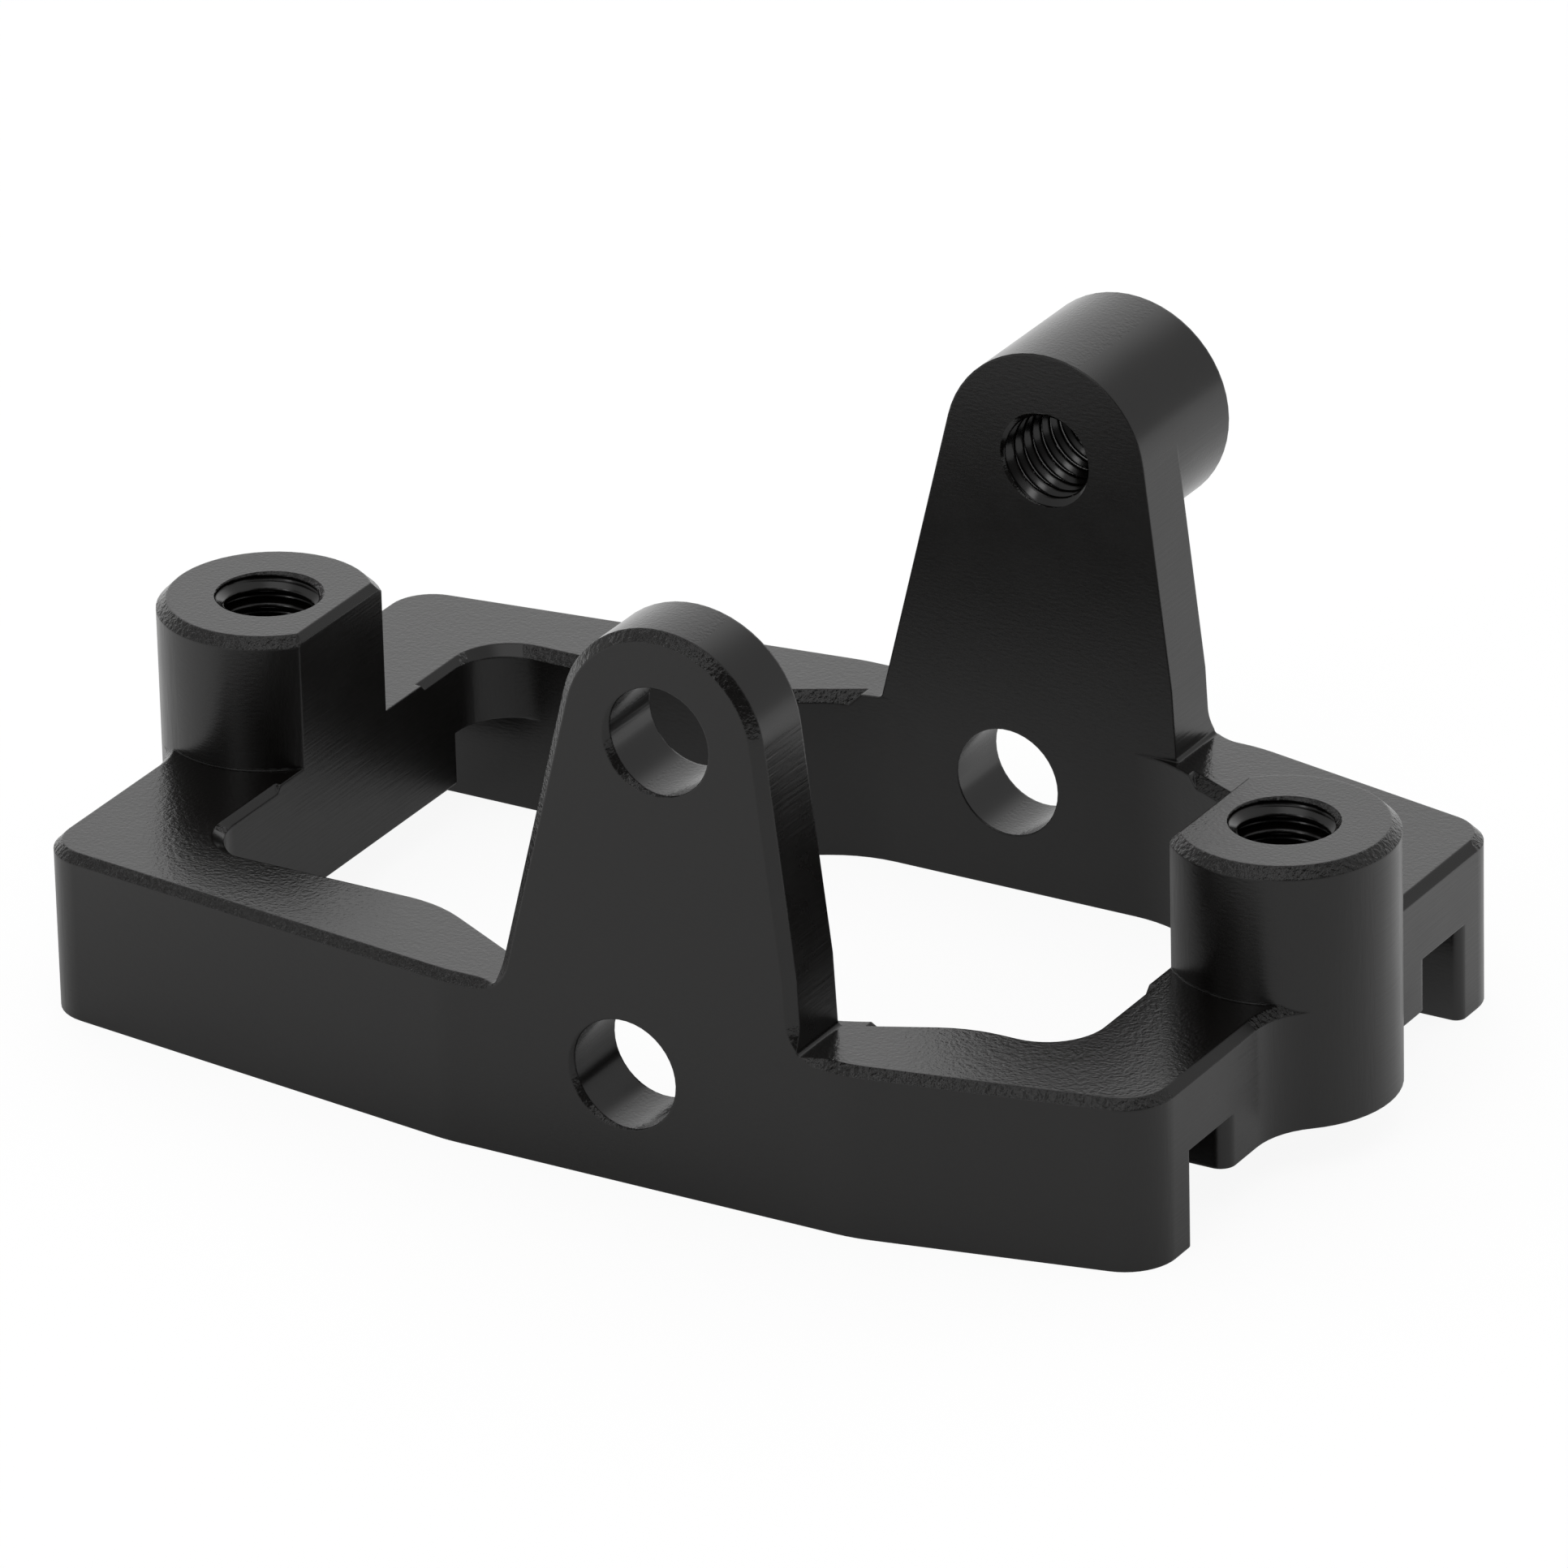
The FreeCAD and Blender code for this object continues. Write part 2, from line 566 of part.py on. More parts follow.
for end, where in ((1, "Front"), (-1, "Rear")):
    ear_levels = []
    for level, reach in ((-1.5, -0.5), (0.5, 1.5)):
        height = (half_width + size["ear_break"] * level) * end
        level_sketch = add_sketch(body, f"{where}EarBreakLevel{len(ear_levels)}", "XZ_Plane", height)
        draw_ear_break(level_sketch, size["ear_break"] * reach)
        level_sketch.Visibility = False
        ear_levels.append(level_sketch)
    ear_loft = body.newObject("PartDesign::SubtractiveLoft", f"{where}EarBreak")
    ear_loft.Profile = ear_levels[0]
    ear_loft.Sections = ear_levels[1:]
    ear_loft.Ruled = True

# A round boss stands out behind the rear ear, in line with the ear's head.
upper_hole = size["upper_hole_right"], size["upper_hole_height"]
rear_sketch = add_sketch(body, "RearBossRound", "XZ_Plane", -pocket_wall)
draw_circle(rear_sketch, upper_hole, size["ear_diameter"])
rear_length = size["ear_wall"] + size["rear_boss_length"]
add_feature(body, "Pad", "RearBoss", rear_sketch, rear_length, towards_normal=False)

# Plain holes: one bore across both long rails, and the upper hole of the front ear.
cross_sketch = add_sketch(body, "CrossHole", "XZ_Plane")
draw_circle(cross_sketch, (size["cross_hole_right"], size["cross_hole_height"]), size["cross_hole_bore"])
add_feature(body, "Pocket", "CrossBore", cross_sketch, side="Symmetric")
ear_hole_sketch = add_sketch(body, "FrontEarHole", "XZ_Plane")
draw_circle(ear_hole_sketch, upper_hole, size["upper_hole_bore"])
add_feature(body, "Pocket", "FrontEarBore", ear_hole_sketch, towards_normal=True)


def add_threaded_hole(name, sketch):
    """Drill core holes with a countersunk mouth through everything below a sketch of circles."""
    body.Document.recompute()
    hole = body.newObject("PartDesign::Hole", name)
    hole.Profile = sketch
    hole.DepthType = "ThroughAll"
    bind(hole, "Diameter", size["thread_core"])
    hole.HoleCutType = "Countersink"
    hole.HoleCutCustomValues = True
    bind(hole, "HoleCutDiameter", size["thread_mouth"])
    bind(hole, "HoleCutCountersinkAngle", size["mouth_angle"])
    sketch.Visibility = False


# Threaded holes: down through each boss, and from the rear ear's inner face out through its boss.
boss_hole_sketch = add_sketch(body, "BossHoles", "XY_Plane", boss_top)
for side in (-1, 1):
    draw_circle(boss_hole_sketch, (boss_axis * side, middle), size["thread_core"])
add_threaded_hole("BossThreads", boss_hole_sketch)
rear_hole_sketch = add_sketch(body, "RearEarHole", "XZ_Plane", -pocket_wall)
draw_circle(rear_hole_sketch, upper_hole, size["thread_core"])
add_threaded_hole("RearThread", rear_hole_sketch)


def check_features(document, body):
    """Stop if a feature has failed, or if one that should add or cut has left the solid as it was."""
    for item in document.Objects:
        if any(state in ("Invalid", "Error") for state in item.State):
            raise ValueError(f"{item.Name} has failed")
    volume = 0
    for feature in body.Group:
        if not feature.isDerivedFrom("PartDesign::Feature"):
            continue
        change = feature.Shape.Volume - volume
        adds = feature.isDerivedFrom("PartDesign::Pad") or feature.Name.endswith("Seams")
        if abs(change) < 0.001 or (change > 0) != adds:
            raise ValueError(f"{feature.Name} changes the volume by {change}")
        volume = feature.Shape.Volume
    if body.Shape.isNull() or not body.Shape.isValid() or len(body.Shape.Solids) != 1:
        raise ValueError("the bracket is not one valid solid")


document.recompute()
check_features(document, body)
os.makedirs("parts", exist_ok=True)
body.Shape.exportStep(os.path.join("parts", f"{body.Label}.step"))
print(f"{body.Label}: {body.Shape.Volume:.1f} cubic millimetres")
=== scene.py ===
"""Servo bracket: one milled, anodised aluminium part on a pale floor, seen from its front right."""

import bpy
import numpy as np
from mathutils import Matrix


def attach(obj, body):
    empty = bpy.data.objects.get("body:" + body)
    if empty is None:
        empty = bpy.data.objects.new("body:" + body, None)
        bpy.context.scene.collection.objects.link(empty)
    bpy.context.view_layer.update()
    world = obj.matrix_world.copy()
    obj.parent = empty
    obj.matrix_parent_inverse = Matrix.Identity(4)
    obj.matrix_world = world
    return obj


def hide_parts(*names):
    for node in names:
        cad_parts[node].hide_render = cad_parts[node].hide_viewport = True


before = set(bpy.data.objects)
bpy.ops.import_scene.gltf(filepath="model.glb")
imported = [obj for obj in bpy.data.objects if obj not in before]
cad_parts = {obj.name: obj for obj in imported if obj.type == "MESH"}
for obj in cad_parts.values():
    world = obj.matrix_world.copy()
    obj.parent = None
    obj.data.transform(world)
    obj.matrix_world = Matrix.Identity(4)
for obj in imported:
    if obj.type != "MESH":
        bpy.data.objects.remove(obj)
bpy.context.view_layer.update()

# The floor: a plain pale sweep that the bracket stands on. The camera sees it lifted to white, but
# it keeps a part of its own shade, so the bracket's shadow stays on it. In reflections it glows a
# little as painted light, more so behind the bracket and on its left, and least inside the ring,
# where that is a painted shade.
FLOOR_HALF = 1.5
FLOOR_COLOUR = (0.85, 0.85, 0.85, 1)
FLOOR_WHITE = 1.14
# How much of the white the camera sees.
SEEN_SHARE = 0.8
# How much of it reflections see, as painted light: from front to rear, and what the left adds to
# that. The turns are the places, across the ring and along it, between which each of the two
# changes.
FRONT_PAINTED_LIGHT = 0.2
REAR_PAINTED_LIGHT = 0.55
SHARE_TURNS = (-0.008, 0.016)
LEFT_PAINTED_LIGHT = 0.3
LEFT_TURNS = (-0.03, -0.017)
# In the middle of the ring only a part of the first of these is left, as painted shade under the
# bracket, and the rest comes back between these two distances from it.
RING_PAINTED_SHADE_PART = 0.45
RING_EDGES = (0.011, 0.019)


def make_mesh(name, points, faces):
    """Make an object of one mesh from arrays of points and faces, and link it."""
    mesh = bpy.data.meshes.new(name)
    mesh.from_pydata(points.tolist(), [], faces.tolist())
    mesh.update()
    piece = bpy.data.objects.new(name, mesh)
    bpy.context.scene.collection.objects.link(piece)
    return piece


def empty_tree(owner):
    """Return the node tree of a material or of the world, with nothing in it."""
    owner.use_nodes = True
    owner.node_tree.nodes.clear()
    return owner.node_tree


def work_out(tree, operation, *values):
    """Add one step of arithmetic, whose values are numbers or the outputs of other nodes."""
    step = tree.nodes.new("ShaderNodeMath")
    step.operation = operation
    for socket, value in zip(step.inputs, values):
        if isinstance(value, bpy.types.NodeSocket):
            tree.links.new(value, socket)
        else:
            socket.default_value = value
    return step.outputs[0]


def fade_between(tree, value, turns, levels, blend="SMOOTHSTEP"):
    """Go from the first level to the second while the value goes from the first turn to the
    second, and no further."""
    fade = tree.nodes.new("ShaderNodeMapRange")
    fade.interpolation_type = blend
    fade.inputs["From Min"].default_value, fade.inputs["From Max"].default_value = turns
    fade.inputs["To Min"].default_value, fade.inputs["To Max"].default_value = levels
    tree.links.new(value, fade.inputs["Value"])
    return fade.outputs["Result"]


def make_floor_material():
    """Pale paint whose shade is lifted towards white for the camera, and a little in reflections,
    where the lift is painted light behind and on the left and painted shade inside the ring:
    the share of white is seen + mirrored * (painted_rear_light * ring_painted_shade +
    painted_left_light)."""
    material = bpy.data.materials.new("pale_sweep")
    tree = empty_tree(material)
    nodes, links = tree.nodes, tree.links
    output = nodes.new("ShaderNodeOutputMaterial")
    paint = nodes.new("ShaderNodeBsdfDiffuse")
    paint.inputs["Color"].default_value = FLOOR_COLOUR
    glow = nodes.new("ShaderNodeEmission")
    glow.inputs["Strength"].default_value = FLOOR_WHITE
    path = nodes.new("ShaderNodeLightPath").outputs
    place = nodes.new("ShaderNodeTexCoord")
    apart = nodes.new("ShaderNodeSeparateXYZ")
    links.new(place.outputs["Object"], apart.inputs["Vector"])
    distance = nodes.new("ShaderNodeVectorMath")
    distance.operation = "LENGTH"
    links.new(place.outputs["Object"], distance.inputs[0])
    seen = work_out(tree, "MULTIPLY", path["Is Camera Ray"], SEEN_SHARE)
    mirrored = work_out(tree, "MAXIMUM", path["Is Glossy Ray"], path["Is Transmission Ray"])
    # The painted light in reflections: lighter to the rear and on the left, with a painted shade in
    # the middle of the ring.
    painted_rear_light = fade_between(tree, apart.outputs["Y"], SHARE_TURNS, (FRONT_PAINTED_LIGHT, REAR_PAINTED_LIGHT))
    ring_painted_shade = fade_between(tree, distance.outputs["Value"], RING_EDGES, (RING_PAINTED_SHADE_PART, 1.0))
    painted_left_light = fade_between(tree, apart.outputs["X"], LEFT_TURNS, (LEFT_PAINTED_LIGHT, 0.0))
    lift = work_out(tree, "MULTIPLY_ADD", painted_rear_light, ring_painted_shade, painted_left_light)
    share = work_out(tree, "MULTIPLY_ADD", mirrored, lift, seen)
    mix = nodes.new("ShaderNodeMixShader")
    links.new(share, mix.inputs["Fac"])
    links.new(paint.outputs[0], mix.inputs[1])
    links.new(glow.outputs[0], mix.inputs[2])
    links.new(mix.outputs[0], output.inputs["Surface"])
    return material


floor_corners = FLOOR_HALF * np.array([(-1, -1, 0), (1, -1, 0), (1, 1, 0), (-1, 1, 0)])
floor = make_mesh("floor", floor_corners, np.array([(0, 1, 2, 3)]))
floor.data.materials.append(make_floor_material())

# The room: a photo booth of pale grey walls with two bright diffusers, one behind the bracket on
# the left and one overhead, a small lamp in front, a gap in the ceiling, and a dark gap on the
# right, where the lens looks in.
ROOM_GREY = 0.44
# Each patch: the direction to its middle, how much it adds, and the angles in degrees within which
# it is whole and beyond which it is gone.
ROOM_PATCHES = {
    "rear_diffuser": ((-0.483, 0.837, 0.259), 0.62, 22, 48),
    "top_diffuser": ((0.03, -0.31, 0.951), 0.46, 17, 29),
    "lens_gap": ((0.72, -0.6, 0.35), -0.36, 22, 40),
    "ceiling_gap": ((-0.47, -0.42, 0.78), -0.3, 8, 19),
    "front_lamp": ((-0.12, -0.87, 0.47), 2.6, 3, 10),
}


def make_room():
    """Light from all sides: grey plus the sum of the patches, each faded by the angle to its
    middle."""
    world = bpy.data.worlds.new("photo_booth")
    bpy.context.scene.world = world
    tree = empty_tree(world)
    nodes, links = tree.nodes, tree.links
    output = nodes.new("ShaderNodeOutputWorld")
    background = nodes.new("ShaderNodeBackground")
    place = nodes.new("ShaderNodeTexCoord")
    total = ROOM_GREY
    for direction, added, whole, gone in ROOM_PATCHES.values():
        aim = nodes.new("ShaderNodeVectorMath")
        aim.operation = "DOT_PRODUCT"
        aim.inputs[1].default_value = np.array(direction) / np.linalg.norm(direction)
        links.new(place.outputs["Generated"], aim.inputs[0])
        turns = np.cos(np.radians((gone, whole)))
        patch = fade_between(tree, aim.outputs["Value"], turns, (0.0, added))
        total = work_out(tree, "ADD", total, patch)
    links.new(total, background.inputs["Color"])
    background.inputs["Strength"].default_value = 1.0
    links.new(background.outputs[0], output.inputs["Surface"])


make_room()

# The camera stands to the front right of the bracket and looks down at it, at 25 degrees, through
# a long lens on a sensor 36 mm wide.
CAMERA_PLACE = (0.18152549, -0.30389565, 0.1708288)
CAMERA_RIGHT = (0.86327774, 0.5042156, -0.02276331)
CAMERA_UP = (-0.19508906, 0.3749314, 0.90629283)
CAMERA_BACK = (0.46550166, -0.77794156, 0.42203688)
CAMERA_LENS = 327.62
CAMERA_SENSOR = 36.0
CAMERA_REACH = (0.01, 20.0)


def make_camera():
    """Place the camera by its position and the directions of its right, top and back."""
    lens = bpy.data.cameras.new("photo_camera")
    lens.sensor_fit = "HORIZONTAL"
    lens.sensor_width = CAMERA_SENSOR
    lens.lens = CAMERA_LENS
    lens.clip_start, lens.clip_end = CAMERA_REACH
    camera = bpy.data.objects.new("photo_camera", lens)
    bpy.context.scene.collection.objects.link(camera)
    columns = np.array([CAMERA_RIGHT, CAMERA_UP, CAMERA_BACK, CAMERA_PLACE]).T
    camera.matrix_world = Matrix(np.vstack([columns, (0, 0, 0, 1)]).tolist())
    bpy.context.scene.camera = camera


make_camera()
bpy.context.scene.view_settings.view_transform = "Standard"

# The body of the bracket: one block of aluminium, milled all over and anodised black. It stands for
# the construction solid and differs from it only in its holes: the threaded ones get their real
# turns, and the front ones a mouth that was deburred by hand, deeper on one side.
BRACKET = "servo_bracket"
# The threads' pitch, and the radii of their crests, which are the core hole's, and of their roots.
THREAD_PITCH = 0.0005
THREAD_CORE = 0.00125
THREAD_ROOT = 0.00152
# The mouths' radius in the solid.
MOUTH_RADIUS = 0.00151
# Each threaded hole: a point on its axis, the axis out of its mouth, on it the far end and the
# mouth, and the real radius of the mouth, which differs a little from hole to hole.
THREADED_HOLES = {
    "left_boss_thread": ((-0.016, -0.001325, 0.0), (0, 0, 1), 0.0013, 0.00896, 0.00154),
    "right_boss_thread": ((0.016, -0.001325, 0.0), (0, 0, 1), 0.0013, 0.00896, 0.00154),
    "rear_ear_thread": ((0.0035, -0.001325, 0.0133), (0, -1, 0), -0.01415, -0.0093, 0.0014),
}
FRONT_FACE = -0.012825
# Deeper than the front rail and ear are thick, less deep than the ring is wide inside.
RAIL_DEPTH = 0.003
# Each front hole: its place along the ring, height, radius, and its mouth's greatest width.
FRONT_HOLES = {
    "front_ear_hole": (0.0035, 0.0133, 0.00155, 0.00018),
    "cross_hole": (0.00215, 0.00325, 0.0016, 0.00015),
}
# Where such a mouth is widest, in degrees from straight right, how far it narrows on both sides of
# that, and its least width.
MOUTH_WIDEST_AT = 208
MOUTH_SPAN = 92
MOUTH_LEAST = 0.000012
# Corner points that round to the same place on a grid of this many lines per metre are one, and a
# point this close to a wall or a face lies on it.
POINT_GRID = 1e7
CLOSE = 0.000004
# Edges that turn by more than this, in radians, are shaded sharp, and the weight keeps flats flat.
SHARP_ANGLE = 0.35
FLATS_WEIGHT = 100


def read_solid(node):
    """Return a construction solid's corner points, each once, and its triangles, as arrays."""
    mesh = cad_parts[node].data
    points = np.empty(len(mesh.vertices) * 3, np.float32)
    mesh.vertices.foreach_get("co", points)
    points = points.reshape(-1, 3)
    mesh.calc_loop_triangles()
    triangles = np.empty(len(mesh.loop_triangles) * 3, np.int32)
    mesh.loop_triangles.foreach_get("vertices", triangles)
    rounded = np.round(points * POINT_GRID).astype(np.int64)
    _, first, index = np.unique(rounded, axis=0, return_index=True, return_inverse=True)
    return points[first], index.reshape(-1)[triangles].reshape(-1, 3)


def open_threaded_hole(points, triangles, base, axis, start, mouth, real_radius):
    """Drop the triangles of one threaded hole: those whose corners all lie at the larger of the
    core radius and mouth radius - (mouth - height), which is the countersink, between the hole's
    ends. The mouth's rim then moves to its real radius, within its flat face."""
    along = np.array(axis, float)
    arm = points - np.array(base)
    height = arm @ along
    spoke = arm - height[:, None] * along
    radius = np.linalg.norm(spoke, axis=1)
    wall = np.maximum(THREAD_CORE, MOUTH_RADIUS - (mouth - height))
    on_wall = np.abs(radius - wall) < CLOSE
    on_wall &= (height > start - CLOSE) & (height < mouth + CLOSE)
    triangles = triangles[~on_wall[triangles].all(axis=1)]
    rim = on_wall & (mouth - height < CLOSE)
    points[rim] += spoke[rim] * (real_radius / MOUTH_RADIUS - 1)
    return triangles


def deburr_mouth(points, triangles, across, up, radius, width):
    """Bevel a front hole's mouth. Round the hole, the bevel's width is the least one plus the rest
    of the greatest one times half of 1 + cos(180 degrees * angle from its widest place / span),
    and beyond the span it is the least one."""
    arm = points[:, [0, 2]] - (across, up)
    distance = np.linalg.norm(arm, axis=1)
    on_hole = (np.abs(distance - radius) < CLOSE) & (points[:, 1] < FRONT_FACE + RAIL_DEPTH)
    rim = np.flatnonzero(on_hole & (np.abs(points[:, 1] - FRONT_FACE) < CLOSE))
    turn = np.arctan2(arm[rim, 1], arm[rim, 0])
    order = np.argsort(turn)
    rim, turn = rim[order], turn[order]
    aside = (np.degrees(turn) - MOUTH_WIDEST_AT + 180) % 360 - 180
    share = np.clip(np.abs(aside) / MOUTH_SPAN, 0, 1)
    bevel = MOUTH_LEAST + (width - MOUTH_LEAST) * (1 + np.cos(np.pi * share)) / 2
    inner = points[rim].copy()
    inner[:, 1] += bevel
    points[rim, 0] += bevel * np.cos(turn)
    points[rim, 2] += bevel * np.sin(turn)
    moved = np.arange(len(points))
    moved[rim] = len(points) + np.arange(len(rim))
    wall = on_hole[triangles].all(axis=1)
    triangles[wall] = moved[triangles[wall]]
    onward = np.roll(rim, -1)
    band = np.vstack([
        np.stack([rim, moved[onward], moved[rim]], -1),
        np.stack([rim, onward, moved[onward]], -1),
    ])
    return np.vstack([points, inner]), np.vstack([triangles, band])


def shade_between_edges(piece):
    """Shade a piece smooth between its sharp edges."""
    piece.data.shade_smooth()
    piece.data.set_sharp_from_angle(angle=SHARP_ANGLE)


# Its finish is black anodising: nearly black, with a clear glassy skin over the marks of machining.
# Level faces are pebbled all over, chamfers show the chatter of a small cutter, round walls have
# faint upright lines, flat ones lines along the cut. All edges are very slightly rounded.
OXIDE = (0.0036, 0.0029, 0.0024, 1)
OXIDE_IOR = 1.6
OXIDE_ROUGH = 0.2
# How much rougher the upright walls are, and the slope at which that ends.
WALL_ROUGHER = 0.1
WALL_SLOPE = 0.5
# The skin's clouds, in which it is a little rougher or smoother: how much, how fine, their detail.
OXIDE_ROUGH_SPREAD = 0.05
CLOUD_FINENESS = 700
CLOUD_DETAIL = 4
EDGE_ROUND = 0.00008
EDGE_SAMPLES = 8
# Each kind of mark: the least and greatest upward and sideways (front or rear) part of the normals
# of the faces that have it, how fine it is along the ring, across it and upwards (in marks per
# metre), its detail, and its height in metres.
MARKS = {
    "pebbles": ((0.93, 1.1), (-0.1, 1.1), (9500, 9500, 9500), 2.0, 0.00001),
    "rim_chatter": ((0.6, 0.78), (0.03, 1.1), (7000, 7000, 7000), 3.0, 0.00007),
    "ear_chatter": ((0.12, 0.6), (0.6, 0.78), (7500, 7500, 7500), 3.0, 0.00003),
    "face_ripple": ((-0.15, 0.15), (0.9, 1.1), (4500, 4500, 12000), 2.0, 0.000004),
    "wall_lines": ((-0.15, 0.15), (0.2, 0.9), (7000, 7000, 1100), 2.0, 0.000006),
    "end_lines": ((-0.15, 0.15), (-0.1, 0.2), (600, 600, 11000), 3.0, 0.000006),
    "underside_lines": ((-1.1, -0.15), (-0.1, 1.1), (1500, 12000, 12000), 1.0, 0.000004),
}


def between(tree, value, limits):
    """One where a value lies between two limits, and otherwise nothing."""
    middle, half = (limits[0] + limits[1]) / 2, (limits[1] - limits[0]) / 2
    return work_out(tree, "COMPARE", value, middle, half)


def add_mark(tree, place, upward, sideways, mark):
    """Noise at one fineness, times its height, on the faces whose normals lie between the
    limits."""
    upward_limits, sideways_limits, fineness, detail, height = mark
    spread = tree.nodes.new("ShaderNodeMapping")
    spread.inputs["Scale"].default_value = fineness
    tree.links.new(place, spread.inputs["Vector"])
    noise = tree.nodes.new("ShaderNodeTexNoise")
    noise.inputs["Scale"].default_value = 1.0
    noise.inputs["Detail"].default_value = detail
    tree.links.new(spread.outputs["Vector"], noise.inputs["Vector"])
    level_enough = between(tree, upward, upward_limits)
    square_enough = between(tree, sideways, sideways_limits)
    chosen = work_out(tree, "MULTIPLY", level_enough, square_enough)
    raised = work_out(tree, "MULTIPLY", noise.outputs["Fac"], height)
    return work_out(tree, "MULTIPLY", raised, chosen)


def make_anodising(name, roughness, wall_roughness, marks):
    """Anodising: a black dielectric skin whose relief depends on which way the face looks. Walls
    may be rougher than the rest, and a skin may have no marks."""
    material = bpy.data.materials.new(name)
    material.use_nodes = True
    tree = material.node_tree
    nodes, links = tree.nodes, tree.links
    skin = nodes["Principled BSDF"]
    skin.inputs["Base Color"].default_value = OXIDE
    skin.inputs["IOR"].default_value = OXIDE_IOR
    place = nodes.new("ShaderNodeTexCoord").outputs["Object"]
    facing = nodes.new("ShaderNodeNewGeometry")
    slope = nodes.new("ShaderNodeSeparateXYZ")
    links.new(facing.outputs["True Normal"], slope.inputs["Vector"])
    upward = slope.outputs["Z"]
    sideways = work_out(tree, "ABSOLUTE", slope.outputs["Y"])
    relief = None
    for mark in marks.values():
        part = add_mark(tree, place, upward, sideways, mark)
        relief = part if relief is None else work_out(tree, "ADD", relief, part)
    rounded = nodes.new("ShaderNodeBevel")
    rounded.samples = EDGE_SAMPLES
    rounded.inputs["Radius"].default_value = EDGE_ROUND
    # The marks' heights are in metres, so the bump takes them as they are.
    bump = nodes.new("ShaderNodeBump")
    bump.inputs["Strength"].default_value = 1.0
    bump.inputs["Distance"].default_value = 1.0
    if relief is not None:
        links.new(relief, bump.inputs["Height"])
    links.new(rounded.outputs["Normal"], bump.inputs["Normal"])
    links.new(bump.outputs["Normal"], skin.inputs["Normal"])
    cloud = nodes.new("ShaderNodeTexNoise")
    cloud.inputs["Scale"].default_value = CLOUD_FINENESS
    cloud.inputs["Detail"].default_value = CLOUD_DETAIL
    links.new(place, cloud.inputs["Vector"])
    least, greatest = roughness - OXIDE_ROUGH_SPREAD, roughness + OXIDE_ROUGH_SPREAD
    clouded = fade_between(tree, cloud.outputs["Fac"], (0.0, 1.0), (least, greatest), "LINEAR")
    steep = work_out(tree, "ABSOLUTE", upward)
    rougher = fade_between(tree, steep, (0.0, WALL_SLOPE), (wall_roughness, 0.0), "LINEAR")
    links.new(work_out(tree, "ADD", clouded, rougher), skin.inputs["Roughness"])
    return material


points, triangles = read_solid(BRACKET)
for hole in THREADED_HOLES.values():
    triangles = open_threaded_hole(points, triangles, *hole)
for hole in FRONT_HOLES.values():
    points, triangles = deburr_mouth(points, triangles, *hole)
bracket = make_mesh("milled_bracket", points, triangles)
shade_between_edges(bracket)
flats = bracket.modifiers.new("flats", "WEIGHTED_NORMAL")
flats.keep_sharp = True
flats.weight = FLATS_WEIGHT
bracket.data.materials.append(
    make_anodising("black_anodising", OXIDE_ROUGH, WALL_ROUGHER, MARKS))
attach(bracket, "root")
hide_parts(BRACKET)

# The seams at the feet of the bosses: the corner of the cutter leaves a very small hollow round in
# the aluminium between each boss and the top of its rail, from the ring's chamfered rim to the edge
# of the window. Its anodised skin is smoother there.
BOSS_AXIS = 0.016
BOSS_RADIUS = 0.00316
ACROSS_MIDDLE = -0.001325
RAIL_TOP = 0.005
SEAM_ROUND = 0.00007
SEAM_SUNK = 0.000004
# Towards each end, over one part in this many of its length, a seam shrinks to the least share.
SEAM_END_PART = 12
SEAM_LEAST = 0.15
SEAM_ROUGH = 0.16
# For each boss: the plan angles of a seam's two ends, from straight outwards, in degrees.
SEAM_ENDS = {-1: (60.5, 135.8), 1: (64.8, 135.8)}
SEAM_STEPS = 48
SEAM_ARC_STEPS = 7


def seam_surface(side, half):
    """A hollow round carried along a boss foot: at plan angle a and round angle t, the distance
    from the boss axis is R + s (1 - cos t) and the height is rail top + s (1 - sin t), with s
    shrinking towards each end. The last profile point closes it inside the corner."""
    first, last = np.radians(SEAM_ENDS[side])
    share = np.linspace(0, 1, SEAM_STEPS + 1)
    plan = first + (last - first) * share
    from_end = np.minimum(share, 1 - share)
    grown = SEAM_ROUND * np.clip(from_end * SEAM_END_PART, SEAM_LEAST, 1)
    bend = np.linspace(0, np.pi / 2, SEAM_ARC_STEPS)
    corner = np.zeros((len(plan), 1))
    away = np.hstack([BOSS_RADIUS + grown[:, None] * (1 - np.cos(bend)), corner + BOSS_RADIUS])
    rise = np.hstack([grown[:, None] * (1 - np.sin(bend)), corner])
    away -= SEAM_SUNK
    rise -= SEAM_SUNK
    points = np.stack([
        side * (BOSS_AXIS + away * np.cos(plan)[:, None]),
        ACROSS_MIDDLE + half * away * np.sin(plan)[:, None],
        RAIL_TOP + rise,
    ], -1)
    rows, columns = away.shape
    index = np.arange(rows * columns).reshape(rows, columns)
    onward = np.roll(index, -1, axis=1)
    quads = np.stack([index[:-1], index[1:], onward[1:], onward[:-1]], -1).reshape(-1, 4)
    # A fan from the corner point closes each end.
    step = np.arange(0, SEAM_ARC_STEPS - 1, 2)
    fan = np.stack([np.full(len(step), columns - 1), step, step + 1, step + 2], -1)
    quads = np.vstack([quads, fan, fan[:, ::-1] + index[-1, 0]])
    # On the left front and the right rear the angles run the other way, so the faces are turned.
    if side * half > 0:
        quads = quads[:, ::-1]
    return points.reshape(-1, 3), quads


seam_anodising = make_anodising("black_anodising_seam", SEAM_ROUGH, 0.0, {})
for side, end_name in ((-1, "left"), (1, "right")):
    for half, face_name in ((-1, "front"), (1, "rear")):
        seam_points, seam_faces = seam_surface(side, half)
        seam = make_mesh(f"{end_name}_boss_{face_name}_seam", seam_points, seam_faces)
        shade_between_edges(seam)
        seam.data.materials.append(seam_anodising)
        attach(seam, "root")

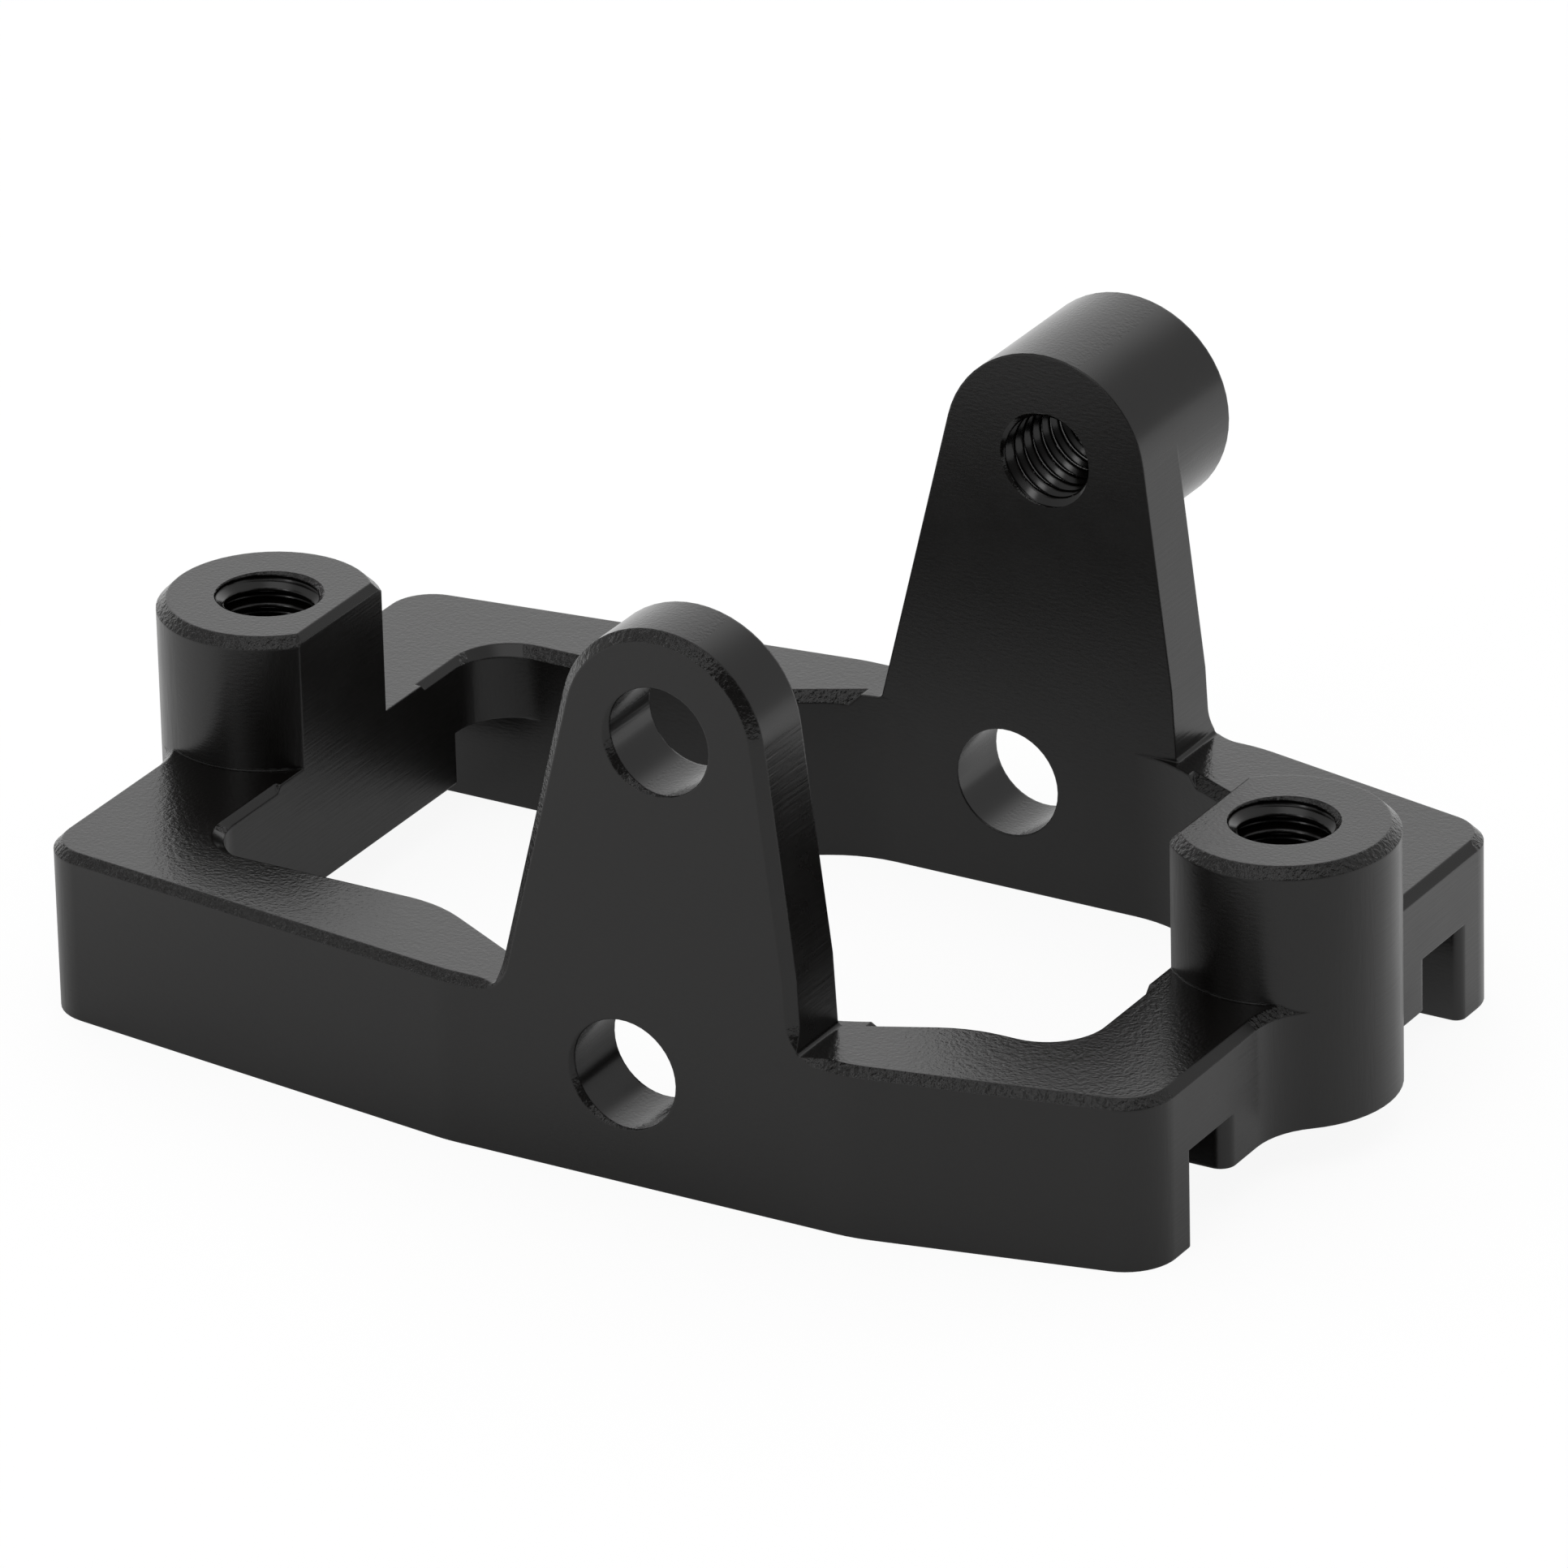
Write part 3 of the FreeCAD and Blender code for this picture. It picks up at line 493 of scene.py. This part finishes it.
# The thread turns in the two bosses and in the rear ear: M3 with a pitch of half a millimetre, cut
# with a tap through countersunk core holes and anodised with the rest. Their skin is smoother.
TURN_STEPS = 72
PITCH_STEPS = 24
# One pitch of the profile, as shares of the pitch and of the depth from crest (0) to root (1).
PROFILE_ALONG = (0.0, 0.12, 0.20, 0.50, 0.58, 0.66, 0.74, 1.0)
PROFILE_DEEP = (0.0, 0.0, 0.06, 0.94, 1.0, 1.0, 0.92, 0.0)
THREAD_ROUGH = 0.14
# Within this of a hole's end, a point lies on it.
END_CLOSE = 0.000001


def thread_surface(base, axis, start, mouth, mouth_radius):
    """The wall of a tapped hole. A ridge profile is carried along a helix: at turn angle a and
    profile place s, the height is start + pitch * (a / full turn + s - 1), held between the two
    ends. The radius is core + depth * profile(s), faded to the core over the last half pitch at
    the far end, and at least that of the countersink, which is the mouth radius less the depth
    below the mouth."""
    turns = int(np.ceil((mouth - start) / THREAD_PITCH)) + 1
    angle = np.arange(turns * TURN_STEPS + 1) * 2 * np.pi / TURN_STEPS
    place = np.arange(PITCH_STEPS) / PITCH_STEPS
    deep = np.interp(place, PROFILE_ALONG, PROFILE_DEEP)
    height = start + THREAD_PITCH * (angle[:, None] / (2 * np.pi) + place[None, :] - 1)
    fade = np.clip((height - start) / (THREAD_PITCH / 2), 0, 1)
    radius = THREAD_CORE + (THREAD_ROOT - THREAD_CORE) * deep[None, :] * fade
    height = np.clip(height, start, mouth)
    radius = np.clip(radius, mouth_radius - (mouth - height), None)
    radius = np.where(mouth - height < CLOSE, mouth_radius, radius)
    along = np.array(axis, float)
    aside = np.array((1.0, 0, 0))
    third = np.cross(along, aside)
    spin = np.cos(angle)[:, None, None] * aside + np.sin(angle)[:, None, None] * third
    points = np.array(base) + radius[..., None] * spin + height[..., None] * along
    rows, columns = height.shape
    index = np.arange(rows * columns).reshape(rows, columns)
    ridge = np.stack([index[:-1, :-1], index[:-1, 1:], index[1:, 1:], index[1:, :-1]], -1)
    # The last profile point of a turn joins the first one of the next turn.
    behind, ahead = index[:-TURN_STEPS, -1], index[TURN_STEPS:, 0]
    joint = np.stack([behind[:-1], ahead[:-1], ahead[1:], behind[1:]], -1)
    faces = np.vstack([ridge.reshape(-1, 4), joint])
    level = height.reshape(-1)[faces]
    beyond = (level > mouth - END_CLOSE).all(axis=1) | (level < start + END_CLOSE).all(axis=1)
    return points.reshape(-1, 3), faces[~beyond]


cut_anodising = make_anodising("black_anodising_cut", THREAD_ROUGH, 0.0, MARKS)
for name, hole in THREADED_HOLES.items():
    wall_points, wall_faces = thread_surface(*hole)
    turns = make_mesh(name, wall_points, wall_faces)
    shade_between_edges(turns)
    turns.data.materials.append(cut_anodising)
    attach(turns, "root")
